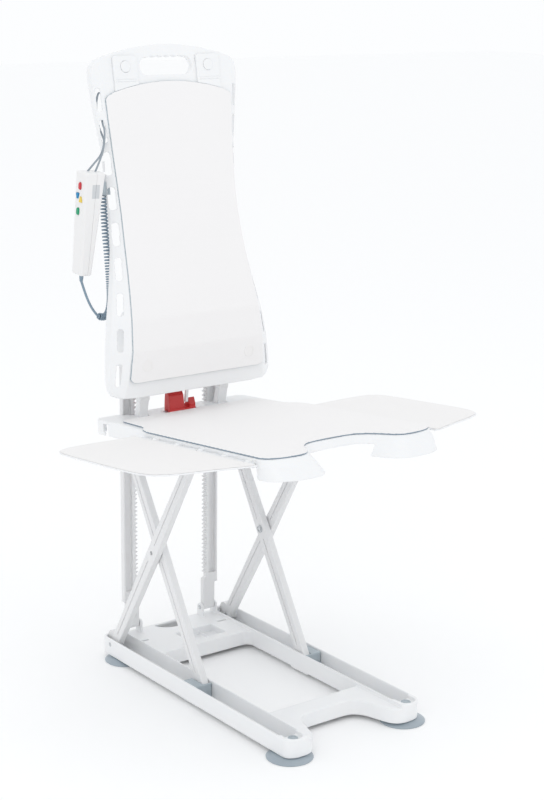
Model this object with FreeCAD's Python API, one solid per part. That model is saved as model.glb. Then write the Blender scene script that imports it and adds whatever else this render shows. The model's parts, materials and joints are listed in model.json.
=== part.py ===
import FreeCAD, Part
import os, math
from FreeCAD import Vector, Matrix, Placement, Rotation

# Battery powered bath lift: a scissor lift seat on a suction-cup base, with a
# reclining backrest that is driven up and down two toothed rack columns.
# Millimetres.  +X to the sitter's left as seen from the front, -Y is the front,
# +Z up.  Helpers take (u, w, z): u = X, w = distance forward of the rear wall
# of the base, z = height above the floor.

# ----------------------------------------------------------------- dimensions
Y0 = 268.4              # puts the middle of the overall depth on Y = 0
BASE_L = 577.0          # base length
RAIL_OUT = 145.0        # half width over the rails
RAIL_IN = 101.4         # inner face of a rail
RAIL_TOP = 41.2
RAIL_BOT = 7.3
WALL = 3.0
BAR_TOP = 35.0          # front bar and rear plate
CUP_R = 40.0
CUP_FRONT_W, CUP_REAR_W, CUP_U = 546.0, 44.0, 120.0
STEM_W = 559.0          # front stems, on the platform at the end of the channel
CHANNEL_END = 546.0

LEG_T = 14.0            # leg thickness across the lift
IN_U = 106.5            # inner face of the inner legs
OUT_U = 122.0           # inner face of the outer legs
PIV = (26.0, 28.5)      # rear foot of the outer legs (w, z)
MID = (156.5, 244.0)    # crossing of the scissor
ARM_LOW = math.hypot(MID[0] - PIV[0], MID[1] - PIV[1])
THETA = math.atan2(MID[1] - PIV[1], MID[0] - PIV[0])
ARM_UP_OUT = 265.2      # crossing to the front slide of the seat
ARM_UP_IN = 237.4       # crossing to the rear pivot of the seat
PIN_R = 4.0
FIT = 0.05              # running clearance on radius

SEAT_Z0 = 468.0         # height of the seat surface at w = 0
SEAT_PITCH = math.degrees(math.atan(0.0916))
SEAT_SKIN = 3.5
COVER_T = 3.0
SKIRT = 37.0
HINGE_W, HINGE_Z = 32.0, 456.0      # recline axis
LEAN = 9.0
BACK_W, BACK_Z = 93.0, 540.0        # foot of the backrest's front reference line

FLAP_H = -9.0            # top of the flap, below the seat surface
FLAP_AX = (181.6, -13.5)  # flap hinge rod (u, depth below the seat surface)
FLAP_F0, FLAP_F1 = 190.0, 524.0
KNUCKLES = (232.6, 300.6, 368.6, 436.6, 500.6)

RACK_U0, RACK_U1 = 80.5, 106.4
RACK_W0, RACK_W1 = 7.5, 18.5
RACK_TOP = 614.0
RACK_PIV = (13.5, 52.0)
TOOTH_P, TOOTH_H = 8.0, 5.0

TOP_IN = (MID[0] - ARM_UP_IN * math.cos(THETA), MID[1] + ARM_UP_IN * math.sin(THETA))
TOP_OUT = (MID[0] + ARM_UP_OUT * math.cos(THETA), MID[1] + ARM_UP_OUT * math.sin(THETA))
BOT_IN = (MID[0] + ARM_LOW * math.cos(THETA), MID[1] - ARM_LOW * math.sin(THETA))
print("theta %.4f  lower arm %.3f" % (math.degrees(THETA), ARM_LOW))
print("seat pivot", TOP_IN, "front slide", TOP_OUT, "base slide", BOT_IN)

os.makedirs("parts", exist_ok=True)
done = {}


# -------------------------------------------------------------------- helpers
def V(u, w, z):
    return Vector(u, Y0 - w, z)


def box(u0, u1, w0, w1, z0, z1):
    return Part.makeBox(u1 - u0, w1 - w0, z1 - z0, V(u0, w1, z0))


def cyl_x(u0, u1, w, z, r):
    return Part.makeCylinder(r, u1 - u0, V(u0, w, z), Vector(1, 0, 0))


def cyl_w(w0, w1, u, z, r):
    return Part.makeCylinder(r, w1 - w0, V(u, w1, z), Vector(0, 1, 0))


def cyl_z(u, w, z0, z1, r):
    return Part.makeCylinder(r, z1 - z0, V(u, w, z0))


def wire(pts):
    return Part.makePolygon(list(pts) + [pts[0]])


def plan(pts, z0, z1):
    """Prism from a polygon of (u, w) points."""
    return Part.Face(wire([V(u, w, z0) for u, w in pts])).extrude(Vector(0, 0, z1 - z0))


def side(pts, u0, u1):
    """Prism from a polygon of (w, z) points, along u."""
    return Part.Face(wire([V(u0, w, z) for w, z in pts])).extrude(Vector(u1 - u0, 0, 0))


def both(s):
    return [s, s.mirror(Vector(0, 0, 0), Vector(1, 0, 0))]


def comp(shapes):
    out = []
    for s in shapes:
        out += s.Solids
    return Part.makeCompound(out)


def fuse(shapes):
    s = shapes[0]
    if len(shapes) > 1:
        s = s.multiFuse(shapes[1:])
    try:
        s = s.removeSplitter()
    except Exception:
        pass
    return s


def round_edges(s, r, test):
    """Fillet the edges that pass the test, leaving the solid as it is where it does not fit."""
    es = [e for e in s.Edges if test(e)]
    for rr in (r, r * 0.6, r * 0.35):
        try:
            f = s.makeFillet(rr, es)
            if f.isValid() and f.Volume > 0 and len(f.Solids) == len(s.Solids):
                return f
        except Exception:
            pass
    print("   no fillet of", r, "on", len(es), "edges")
    return s


def upright(e):
    """Straight edge along Z."""
    if len(e.Vertexes) != 2 or not isinstance(e.Curve, Part.Line):
        return False
    d = e.Vertexes[1].Point.sub(e.Vertexes[0].Point)
    return abs(d.x) < 1e-6 and abs(d.y) < 1e-6


def spline(pts):
    c = Part.BSplineCurve()
    c.interpolate(pts)
    return c.toShape()


def smooth_outline(half, z, w_rear, closed_rear=True):
    """Symmetric closed wire: half is a list of (u, w) from the centre line to the
    side, taken as one smooth curve and mirrored; the rear is closed by straight lines."""
    left = [V(-u, w, z) for u, w in reversed(half)]
    right = [V(u, w, z) for u, w in half]
    if half[0][0] == 0:
        pts = left + right[1:]
    else:
        pts = left + right
    e = spline(pts)
    uL, wL = half[-1]
    a = Part.makeLine(V(uL, wL, z), V(uL, w_rear, z))
    b = Part.makeLine(V(uL, w_rear, z), V(-uL, w_rear, z))
    c = Part.makeLine(V(-uL, w_rear, z), V(-uL, wL, z))
    return Part.Wire([e, a, b, c])


def save(name, shape):
    solids = shape.Solids
    bad = [s for s in solids if not s.isValid() or s.Volume < 1]
    if bad:
        print("   BAD", name, len(bad), "of", len(solids))
    if len(solids) == 1:
        shape = solids[0]
    shape.exportStep("parts/%s.step" % name)
    done[name] = shape
    bb = shape.BoundBox
    print("%-24s solids %2d  vol %9.0f  x %.1f..%.1f y %.1f..%.1f z %.1f..%.1f" % (
        name, len(solids), shape.Volume, bb.XMin, bb.XMax, bb.YMin, bb.YMax, bb.ZMin, bb.ZMax))


# ------------------------------------------------------------------ base frame
FRONT_HALF = [(0, 494), (40, 494.5), (56, 499), (66, 510), (73, 526), (80, 550), (90, 569),
              (104, 576.5), (123, 577), (137, 573), (145, 556)]


def base_frame():
    out = Part.Face(smooth_outline(FRONT_HALF, RAIL_BOT, 0.0))
    body = out.extrude(Vector(0, 0, RAIL_TOP - RAIL_BOT))
    body = round_edges(body, 10.0, lambda e: upright(e) and abs(e.Vertexes[0].Point.y - Y0) < 1)
    # the middle is lower than the rails
    body = body.cut(box(-RAIL_IN, RAIL_IN, -5, 620, BAR_TOP, 60))
    # clear opening between rear plate, rails and front bar
    hole = box(-RAIL_IN, RAIL_IN, 131, 454, 0, 60)
    hole = round_edges(hole, 16.0, lambda e: upright(e) and e.Vertexes[0].Point.y > Y0 - 200)
    hole = round_edges(hole, 5.0, lambda e: upright(e) and e.Vertexes[0].Point.y < Y0 - 400)
    body = body.cut(hole)
    # rail channels, open upwards, with a round front end
    for sgn in (-1, 1):
        u0, u1 = sorted((sgn * 104.0, sgn * 142.0))
        body = body.cut(box(u0, u1, 8, CHANNEL_END, RAIL_BOT + WALL, 60))
        # lower platform at the front end of the rail, for the stem of the cup
        end = Part.makeCylinder(15.0, 60, V(sgn * 123.0, STEM_W, 34.0)).fuse(
            box(sgn * 123.0 - 15.0, sgn * 123.0 + 15.0, 544, STEM_W, 34.0, 94.0))
        body = body.cut(end)
    # hollow underside of the front bar and of the rear plate
    body = body.cut(box(-96, 96, 458, 489, RAIL_BOT - 1, BAR_TOP - 4))
    body = body.cut(box(-96, 96, 4, 126, RAIL_BOT - 1, BAR_TOP - 6))
    # rear plate: crescent opening at the rear wall and the ribbed well in front of it
    cres = Part.makeCylinder(34, 60, V(0, -2, 0)).common(box(-60, 60, 6, 60, 0, 60))
    body = body.cut(cres)
    body = body.cut(box(-22, 62, 62, 110, BAR_TOP - 16, 60))
    plate = box(-24, 64, 60, 112, BAR_TOP - 18, BAR_TOP - 14)
    for u in (-24, 62):
        plate = plate.fuse(box(u, u + 2, 60, 112, BAR_TOP - 18, BAR_TOP - 3))
    for w in (60, 110):
        plate = plate.fuse(box(-24, 64, w, w + 2, BAR_TOP - 18, BAR_TOP - 3))
    for u in (6, 34):
        plate = plate.fuse(box(u - 1, u + 1, 60, 112, BAR_TOP - 18, BAR_TOP - 8))
    plate = plate.cut(cyl_z(20, 86, 0, 60, 3.2)).cut(cyl_z(48, 86, 0, 60, 3.2)).cut(cyl_z(-8, 86, 0, 60, 3.2))
    body = body.fuse(plate)
    # slots in front of the rack feet
    for s in both(box(79, 108, 56, 60.5, BAR_TOP - 10, 60).common(box(70, 99, 0, 90, 0, 60))):
        body = body.cut(s)
    # ears for the rack feet
    for s in both(side([(3, BAR_TOP - 4), (24, BAR_TOP - 4), (22, 56), (18, 60), (9, 60), (5, 56)], 68.0, 73.5)):
        body = body.fuse(s)
    for s in both(side([(3, BAR_TOP - 8), (24, BAR_TOP - 8), (22, 56), (18, 60), (9, 60), (5, 56)], 100.6, 104.0)):
        body = body.fuse(s)
    for sgn in (-1, 1):
        u0, u1 = sorted((sgn * 60, sgn * 106))
        body = body.cut(cyl_x(u0, u1, RACK_PIV[0], RACK_PIV[1], PIN_R))
        # leg pivot bores and stem sockets
        u0, u1 = sorted((sgn * 138, sgn * 150))
        body = body.fuse(cyl_x(min(sgn * 137.2, sgn * 143), max(sgn * 137.2, sgn * 143), PIV[0], PIV[1], 10.0))
        body = body.cut(cyl_x(u0 - 2, u1 + 2, PIV[0], PIV[1], PIN_R))
        # relief in the rear wall behind the heel of the outer leg
        u0, u1 = sorted((sgn * 122.2, sgn * 136.6))
        body = body.cut(box(u0, u1, 4.4, 8.1, 26.0, 60.0))
    # stem sockets for the four cups
    for sgn in (-1, 1):
        body = body.cut(cyl_z(sgn * 123.0, STEM_W, 0, 60, 5.0))
        body = body.cut(cyl_z(sgn * CUP_U, CUP_REAR_W, 0, RAIL_BOT + WALL + 0.2, 5.0))
        # lower step under the rail, by the inner opening
        u0, u1 = sorted((sgn * RAIL_IN, sgn * (RAIL_OUT - 3)))
        body = body.fuse(box(u0, u1, 262, 312, RAIL_BOT - 3.0, RAIL_BOT + 1))
    body = body.removeSplitter()
    return body


frame = base_frame()
frame = round_edges(frame, 1.6, lambda e: abs(e.BoundBox.ZMin - RAIL_TOP) < 0.01 and e.BoundBox.ZLength < 0.01
                    and e.Length > 12 and max(abs(e.BoundBox.XMin), abs(e.BoundBox.XMax)) > 142.5)
save("base_frame", frame)


def cup(u, w):
    # shallow bell with a lip and a solid crown
    pts = [(0, 7.2), (13, 7.2), (18, 6.9), (28, 5.4), (37, 2.6), (40, 0.9), (40, 0), (38.5, 0), (30, 2.2), (18, 3.6), (0, 4.0)]
    f = Part.Face(wire([Vector(r, 0, z) for r, z in pts]))
    s = f.revolve(Vector(0, 0, 0), Vector(0, 0, 1), 360)
    s.translate(V(u, w, 0))
    return s


def stem(u, w, z):
    s = cyl_z(u, w, 7.22, z + 1.0, 4.9)
    h = cyl_z(u, w, z + 0.02, z + 2.6, 8.6)
    h = h.cut(cyl_z(u, w, z + 1.4, z + 4, 6.4)).fuse(cyl_z(u, w, z + 0.5, z + 2.2, 4.2))
    return s.fuse(h)


save("suction_cups", comp([cup(s * u, w) for s in (-1, 1) for u, w in ((123.0, STEM_W - 8.0), (CUP_U, CUP_REAR_W))]))
save("suction_cup_stems", comp([stem(s * 123.0, STEM_W, 34.0) for s in (-1, 1)] + [stem(s * CUP_U, CUP_REAR_W, RAIL_BOT + WALL) for s in (-1, 1)]))


# ------------------------------------------------------------------------ legs
def leg(p0, p1, mid, u0, heel=None, r0=10.5, r1=9.5, rm=13.0):
    """Bar from p0 to p1 in the (w, z) plane, deepest at mid."""
    L = math.hypot(p1[0] - p0[0], p1[1] - p0[1])
    m = math.hypot(mid[0] - p0[0], mid[1] - p0[1])
    ang = math.atan2(p1[1] - p0[1], p1[0] - p0[0])

    def g(t, n):
        return V(u0, p0[0] + t * math.cos(ang) - n * math.sin(ang), p0[1] + t * math.sin(ang) + n * math.cos(ang))
    e = [Part.makeLine(g(0, r0), g(m, rm)), Part.makeLine(g(m, rm), g(L, r1)),
         Part.Arc(g(L, r1), g(L + r1, 0), g(L, -r1)).toShape(),
         Part.makeLine(g(L, -r1), g(m, -rm)), Part.makeLine(g(m, -rm), g(0, -r0)),
         Part.Arc(g(0, -r0), g(-r0, 0), g(0, r0)).toShape()]
    s = Part.Face(Part.Wire(e)).extrude(Vector(LEG_T, 0, 0))
    s = round_edges(s, 1.6, lambda e: abs(e.BoundBox.XLength) < 0.01)
    if heel:
        s = s.fuse(cyl_x(u0 + 1.0, u0 + LEG_T - 1.0, heel[0], heel[1], heel[2]))
    # long recess on both faces, towards the upper edge, stopped short of the pivots
    for a, b in ((26, m - 20), (m + 20, L - 26)):
        for ua in (u0 - 1, u0 + LEG_T - 1.4):
            pts = []
            for t, n in ((a, -1.0), (b, -1.0), (b, 1.4), (a, 1.4)):
                v = g(t, n)
                pts.append(Vector(ua, v.y, v.z))
            s = s.cut(Part.Face(wire(pts)).extrude(Vector(2.4, 0, 0)))
    return s


SHOE_U = 130.4
outer = leg(PIV, TOP_OUT, MID, OUT_U, heel=(17.5, 39.5, 12.5), r1=8.9)
outer = outer.cut(cyl_x(OUT_U - 2, 140, PIV[0], PIV[1], PIN_R + FIT))
outer = outer.cut(cyl_x(OUT_U - 2, 140, MID[0], MID[1], PIN_R))
outer = outer.cut(cyl_x(SHOE_U - 0.4, 140, TOP_OUT[0], TOP_OUT[1], 14.5))
outer = outer.cut(cyl_x(OUT_U - 2, 140, TOP_OUT[0], TOP_OUT[1], PIN_R))
o = both(outer)
save("outer_leg_left", o[0])
save("outer_leg_right", o[1])
inner = leg(BOT_IN, TOP_IN, MID, IN_U)
inner = inner.cut(cyl_x(IN_U - 2, 125, BOT_IN[0], BOT_IN[1], PIN_R))
inner = inner.cut(cyl_x(IN_U - 2, 125, MID[0], MID[1], PIN_R + FIT))
inner = inner.cut(cyl_x(IN_U - 2, 125, TOP_IN[0], TOP_IN[1], PIN_R + FIT))
# round plug seat on the upper face of the foot
dirn = Vector(0, -math.sin(THETA), math.cos(THETA))
plug_p = V(IN_U + 7, BOT_IN[0] - 26 * math.cos(THETA), BOT_IN[1] + 26 * math.sin(THETA)).add(dirn.multiply(10.3))
dirn = Vector(0, -math.sin(THETA), math.cos(THETA))
inner = inner.cut(Part.makeCylinder(4.2, 6, plug_p.sub(Vector(dirn).multiply(3)), dirn))
i = both(inner)
save("inner_leg_left", i[0])
save("inner_leg_right", i[1])
save("inner_leg_plugs", comp(both(Part.makeCylinder(4.2, 4.0, plug_p.sub(Vector(dirn).multiply(3)), dirn))))

# crossing pins: ringed head on the inner face, riveted in the outer leg
pin = cyl_x(IN_U - 1.6, OUT_U + LEG_T - 2, MID[0], MID[1], PIN_R)
head = cyl_x(IN_U - 1.9, IN_U - 0.1, MID[0], MID[1], 7.0).cut(
    cyl_x(IN_U - 2.5, IN_U - 1.1, MID[0], MID[1], 5.6).cut(cyl_x(IN_U - 3, IN_U, MID[0], MID[1], 3.9)))
save("scissor_pins", comp(both(pin.fuse(head))))
# rear foot pins: pressed in the rail boss, the legs turn on them
save("leg_base_pins", comp(both(cyl_x(OUT_U + 0.5, RAIL_OUT - 0.6, PIV[0], PIV[1], PIN_R))))

# base slides: blocks that fill the channel, carrying the inner legs' feet
slide = box(121.3, 141.2, BOT_IN[0] - 24, BOT_IN[0] + 15, 10.8, 38.6)
slide = slide.fuse(box(104.8, 141.2, BOT_IN[0] + 11.2, BOT_IN[0] + 15, 10.8, 38.6))
slide = round_edges(slide, 5.0, lambda e: abs(e.BoundBox.XLength - 0) > 8 and e.BoundBox.YLength < 0.01 and e.BoundBox.ZLength < 0.01 and e.BoundBox.ZMin > 30)
slide = slide.cut(cyl_x(104, 134, BOT_IN[0], BOT_IN[1], PIN_R + FIT))
save("base_slides", comp(both(slide)))
save("base_slide_pins", comp(both(cyl_x(IN_U + 0.4, 133.6, BOT_IN[0], BOT_IN[1], PIN_R))))

# seat slides: shoes on the outer legs' heads, running in the seat rails
ssh = cyl_x(SHOE_U, 137.6, TOP_OUT[0], TOP_OUT[1], 9.0)
ssh = ssh.cut(cyl_x(SHOE_U - 1, 139, TOP_OUT[0], TOP_OUT[1], PIN_R + FIT))
ssh = round_edges(ssh, 1.0, lambda e: isinstance(e.Curve, Part.Circle) and abs(e.Curve.Radius - 9.0) < 0.01)
save("seat_slides", comp(both(ssh)))
save("seat_slide_pins", comp(both(cyl_x(OUT_U + 0.4, 137.4, TOP_OUT[0], TOP_OUT[1], PIN_R))))

# ----------------------------------------------------------------------- racks
def rack():
    s = box(RACK_U0, RACK_U1, RACK_W0, RACK_W1, 66.0, RACK_TOP)
    s = s.cut(box(87.0, 102.5, 10.5, 30.0, 120.0, RACK_TOP - 14))      # channel open to the front
    s = s.cut(box(100.2, 120.0, 0.0, 30.0, 0.0, 100.0))                # narrow foot
    n = int((RACK_TOP - 120.0) // TOOTH_P)
    pts = [(RACK_U0 + 1, 118.0), (RACK_U0, 118.0)]
    for k in range(n):
        z = 120.0 + k * TOOTH_P
        pts += [(RACK_U0, z + 1.2), (RACK_U0 - TOOTH_H, z + 3.2), (RACK_U0 - TOOTH_H, z + 4.8), (RACK_U0, z + 6.8)]
    pts += [(RACK_U0 + 1, RACK_TOP - 2)]
    f = Part.Face(wire([V(u, RACK_W0 + 1, z) for u, z in pts]))
    s = s.fuse(f.extrude(Vector(0, -(RACK_W1 - RACK_W0 - 2), 0)))
    # smooth round-topped foot
    foot = box(74.2, 100.0, RACK_W0, RACK_W1, 60.0, 106.0)
    foot = foot.fuse(cyl_w(RACK_W0, RACK_W1, 80.4, 106.0, 6.2))
    foot = foot.fuse(side([(RACK_W0, 62), (RACK_W1, 62), (RACK_W1, 52), (RACK_W0, 52)], 74.2, 100.0))
    foot = foot.fuse(cyl_x(74.2, 100.0, RACK_PIV[0], RACK_PIV[1], 6.0))
    s = s.fuse(foot)
    s = s.cut(cyl_x(60, 110, RACK_PIV[0], RACK_PIV[1], PIN_R + FIT))
    return s.removeSplitter()


r = both(rack())
save("rack_left", r[0])
save("rack_right", r[1])
save("rack_hinge_pins", comp(both(cyl_x(68.2, 103.8, RACK_PIV[0], RACK_PIV[1], PIN_R))))

# ------------------------------------------------------------------------ seat
# built flat with the seat surface at h = 0, then pitched front up about w = 0


def seat_place(s):
    s = s.copy()
    s.rotate(V(0, 0, 0), Vector(1, 0, 0), -SEAT_PITCH)
    s.translate(Vector(0, 0, SEAT_Z0))
    return s


def to_seat(w, z):
    """(w, z) in the lift to (f, h) on the flat seat."""
    b = math.radians(SEAT_PITCH)
    dw, dz = w, z - SEAT_Z0
    return dw * math.cos(b) + dz * math.sin(b), -dw * math.sin(b) + dz * math.cos(b)


TOP_HALF = [(0, 489), (30, 490), (54, 497), (71, 513), (84, 535), (96, 553), (112, 560.5), (140, 558.5), (162, 551), (173, 540), (176, 524)]
MID_HALF = [(0, 496), (28, 497), (49, 503), (64, 518), (75, 541), (86, 561), (104, 571), (139, 570), (163, 562), (175, 549), (177.5, 526)]
BOT_HALF = [(0, 502), (25, 502.5), (42, 508), (53, 522), (61, 545), (71, 567), (86, 580), (106, 585), (138, 582.5), (162, 572), (175, 557), (178.5, 528)]


def inset(half, d):
    """Move a half outline inwards by about d."""
    out = []
    n = len(half)
    for k, (u, w) in enumerate(half):
        a = half[max(k - 1, 0)]
        b = half[min(k + 1, n - 1)]
        tx, ty = b[0] - a[0], b[1] - a[1]
        if k == 0:
            tx, ty = 1, 0
        if k == n - 1:
            tx, ty = 0, -1
        L = math.hypot(tx, ty)
        out.append((u + ty / L * d if k else 0, w - tx / L * d))
    return out


def seat_block(d, top, bottom):
    """Front of the seat: lofted over three outlines, inset by d."""
    ws = [smooth_outline(inset(TOP_HALF, d), top, 420.0),
          smooth_outline(inset(MID_HALF, d), (top + bottom) * 0.38, 420.0),
          smooth_outline(inset(BOT_HALF, d), bottom, 420.0)]
    return Part.makeLoft(ws, True, True)


def seat_shell():
    outer = seat_block(0.0, -COVER_T, -SKIRT)
    innr = seat_block(3.0, -COVER_T - SEAT_SKIN, -SKIRT - 3)
    nose = outer.cut(innr)
    nose = nose.cut(box(-300, 300, 300, 421, -80, 10))
    # behind the front corners the side wall is shallow, over the flap hinges
    nose = nose.cut(box(-300, 300, 300, 526, -80, -18))
    # main tray
    side_pts = [(176, 424), (176, 205), (168, 172), (164, 120), (164, 24), (154, 13)]
    pl = side_pts + [(-u, w) for u, w in reversed(side_pts)]
    tray = plan(pl, -30.0, -COVER_T)
    ins = [(173, 424.5), (173, 206), (165, 173), (161, 121), (161, 25.5), (152.5, 16)]
    ipl = ins + [(-u, w) for u, w in reversed(ins)]
    tray = tray.cut(plan(ipl, -31.0, -COVER_T - SEAT_SKIN))
    tray = tray.cut(box(-300, 300, 170, 430, -60, -18))
    tray = tray.cut(side([(128, -31), (150, -24), (171, -17.9), (171, -40), (128, -40)], -300, 300))
    body = nose.fuse(tray)
    # hook notches in the rear side walls
    for s in both(box(155, 175, 42, 59, -24, -9).fuse(box(155, 175, 48, 59, -40, -9))):
        body = body.cut(s)
    # open-ended slots for rack columns and backrest arms
    for s in both(box(72.5, 109.5, 0, 24.2, -60, 10).fuse(box(76.0, 98.8, 20, 68, -60, 10))):
        body = body.cut(s)
    for s in both(box(69.5, 72.5, 13, 26, -12, -COVER_T).fuse(box(109.5, 112.5, 13, 26, -12, -COVER_T)).fuse(
            box(73.5, 101.2, 68, 70.5, -12, -COVER_T)).fuse(box(72.0, 76.0, 24.2, 70.5, -22, -COVER_T)).fuse(
            box(98.8, 101.2, 40, 70.5, -14, -COVER_T))):
        body = body.fuse(s)
    # low rear wall between the columns' slots and over the heels of the outer legs
    for s in both(box(60, 114, 0, 25, -60, -12).fuse(box(119.5, 139.5, 0, 46, -60, -13))):
        body = body.cut(s)
    # central slot for the locking lever
    body = body.cut(box(-40, 26, 45, 78, -60, 10))
    # cross ribs under the skin
    for f in (100, 150, 250, 330, 400, 470):
        if f < 170:
            body = body.fuse(box(-161, 161, f, f + 2.5, -10, -COVER_T - 1))
        body = body.fuse(box(-99, 99, f, f + 2.5, -16, -COVER_T - 1))
    for u in (-60, 0, 60):
        body = body.fuse(box(u - 1.25, u + 1.25, 80, 480, -14, -COVER_T - 1))
    # ears for the rear pivot of the inner legs
    pf, ph = to_seat(*TOP_IN)
    # bosses beside the lever's slot
    for u0, u1 in ((-46.0, -40.2), (26.2, 32.0)):
        body = body.fuse(box(u0, u1, 46, 70, -12, -COVER_T - 1))
    lf, lh = to_seat(58.0, 470.0)
    body = body.cut(cyl_x(-41.6, 27.6, lf, lh, 3.0))
    # room for the barrels of the flap hinges
    for s in both(cyl_w(FLAP_F0 + 7.4, FLAP_F1 + 0.6, FLAP_AX[0], FLAP_AX[1], 5.0)):
        body = body.cut(s)
    # knuckles of the flap hinges
    for a in KNUCKLES:
        k = cyl_w(a, a + 12.8, FLAP_AX[0], FLAP_AX[1], 4.4).fuse(box(173.5, FLAP_AX[0], a, a + 12.8, FLAP_AX[1] - 4.4, -7.0))
        for s in both(k.cut(cyl_w(100, 600, FLAP_AX[0], FLAP_AX[1], 2.0))):
            body = body.fuse(s)
    for s in both(cyl_w(FLAP_F0, FLAP_F1 + 4, FLAP_AX[0], FLAP_AX[1], 2.0)):
        body = body.cut(s)
    return body, pf, ph


body, pf, ph = seat_shell()
# the ears stand inboard of the inner legs; the racks pass inboard of them at rest
for s in both(side([(pf - 6.2, -COVER_T - 1), (pf + 16, -COVER_T - 1), (pf + 7, ph - 5), (pf + 2, ph - 6.2), (pf - 4, ph - 6.2), (pf - 6.2, ph - 4)], 99.4, 105.6)):
    body = body.fuse(s)
hf, hh = to_seat(HINGE_W, HINGE_Z)
for sgn in (-1, 1):
    a, b = sorted((sgn * 66, sgn * 110))
    body = body.cut(cyl_x(a, b, hf, hh, PIN_R + FIT))
    a, b = sorted((sgn * 98, sgn * 108))
    body = body.cut(cyl_x(a, b, pf, ph, PIN_R))
SEAT_FLAT = body
save("seat_shell", seat_place(body))

# seat pivot pins: pressed in the seat ears, through the inner legs
save("seat_pivot_pins", comp(both(cyl_x(99.6, 120.3, TOP_IN[0], TOP_IN[1], PIN_R))))

# rails under the seat for the front slides
rail = box(102.0, 141.5, 262, 550.5, -14.6, -COVER_T - SEAT_SKIN - 0.02)
rail = rail.cut(box(105, 138, 266, 545, -11.5, -7.5))
rail = rail.fuse(box(138.6, 141.5, 262, 550.5, -28, -14.0)).fuse(box(102.0, 104.5, 262, 550.5, -26, -14.0))
rail = rail.fuse(box(102.0, 141.5, 547.5, 550.5, -28, -14.0))
save("seat_rails", comp([seat_place(s) for s in both(rail)]))

# seat cover: thin moulded pad over the shell
cov = Part.Face(smooth_outline(TOP_HALF, -COVER_T + 0.03, 421.0)).extrude(Vector(0, 0, COVER_T - 0.03))
cpl = [(176, 422), (176, 205), (170, 185), (160, 172), (155, 160), (150, 90), (140, 80)]
cov = cov.fuse(plan(cpl + [(-u, w) for u, w in reversed(cpl)], -COVER_T + 0.03, 0.0))
cov = cov.removeSplitter()
save("seat_cover", seat_place(cov))

# ----------------------------------------------------------------------- flaps


def flap_outline(d, h0, h1):
    """Plate of the flap, inset by d, between two depths below the seat surface."""
    free = [(189, 190.5), (240, 186.5), (290, 184.0), (318, 185.5), (338, 192), (350, 208), (354.5, 235), (355.5, 290), (355.3, 360),
            (354, 420), (349.5, 458), (339, 482), (320, 497.5), (288, 511), (250, 524), (215, 537), (197, 543.5)]
    pts = []
    for k, (u, w) in enumerate(free):
        a_, b_ = free[max(k - 1, 0)], free[min(k + 1, len(free) - 1)]
        tx, ty = b_[0] - a_[0], b_[1] - a_[1]
        L = math.hypot(tx, ty)
        pts.append(V(u - ty / L * d, w + tx / L * d, h0))
    e = spline(pts)
    p0, p1 = pts[0], pts[-1]
    u_in = 188.0 + d
    q0, q1 = Vector(u_in, p0.y, h0), Vector(u_in, p1.y, h0)
    w_ = Part.Wire([e, Part.makeLine(p1, q1), Part.makeLine(q1, q0), Part.makeLine(q0, p0)])
    return Part.Face(w_).extrude(Vector(0, 0, h1 - h0))


def flap():
    return flap_outline(0.0, FLAP_H - 2.6, FLAP_H)


def flap_plate():
    f = flap()
    rod = cyl_w(FLAP_F0 + 8, FLAP_F1, FLAP_AX[0], FLAP_AX[1], 4.6)
    web = box(181.6, 189.5, FLAP_F0 + 8, FLAP_F1, FLAP_AX[1] - 1.5, FLAP_H - 0.4)
    f = f.fuse(web).fuse(rod)
    # gaps for the seat's knuckles, and the bore
    for a in KNUCKLES:
        f = f.cut(box(174, 188.6, a - 0.6, a + 13.4, -30, 0))
    f = f.cut(cyl_w(100, 560, FLAP_AX[0], FLAP_AX[1], 2.0 + FIT))
    # stiffening ribs on the underside
    for w in (260, 330, 400, 470):
        f = f.fuse(box(188, 335 if w < 470 else 318, w, w + 2.0, FLAP_H - 6.0, FLAP_H - 2.0))
    f = f.fuse(box(262, 264, 205, 505, FLAP_H - 6.0, FLAP_H - 2.0))
    return f.removeSplitter()


fl = both(flap_plate())
save("flap_left", seat_place(fl[0]))
save("flap_right", seat_place(fl[1]))
fc = both(flap_outline(2.0, FLAP_H + 0.02, FLAP_H + 1.0))
save("flap_cover_left", seat_place(fc[0]))
save("flap_cover_right", seat_place(fc[1]))
save("flap_hinge_rods", comp([seat_place(s) for s in both(cyl_w(FLAP_F0 + 2, FLAP_F1 + 3, FLAP_AX[0], FLAP_AX[1], 2.0))]))

# -------------------------------------------------------------------- backrest
# built in its own frame: u, s up along the back, n forward; then leaned back


def B(u, s, n):
    return Vector(u, -n, s)


def back_place(s):
    s = s.copy()
    s.rotate(Vector(0, 0, 0), Vector(1, 0, 0), -LEAN)
    s.translate(V(0, BACK_W, BACK_Z))
    return s


def to_back(w, z):
    """(w, z) in the lift to (s, n) on the backrest."""
    a = math.radians(LEAN)
    dw, dz = w - BACK_W, z - BACK_Z
    return -dw * math.sin(a) + dz * math.cos(a), dw * math.cos(a) + dz * math.sin(a)


#          s    half   pad    rim    pad
#               width  half   n      n
STATIONS = [(-24, 172, 152, -8, 2), (10, 176, 148, -6, 15), (60, 171, 143, 0, 26), (115, 163, 139.5, 0, 27),
            (160, 154, 135, -3, 21), (200, 147, 131.5, -6, 15), (245, 141, 129, -10, 9), (300, 138, 127, -13, 4),
            (350, 138, 127.5, -13, 1), (420, 141, 131, -10, 0), (470, 148, 134, -8, 1), (520, 153, 137, -4, 2),
            (560, 155.5, 138, -3, 1), (602, 156, 138, -3, 0)]
SHELL_T = 3.2
RIM = 12.0


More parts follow.
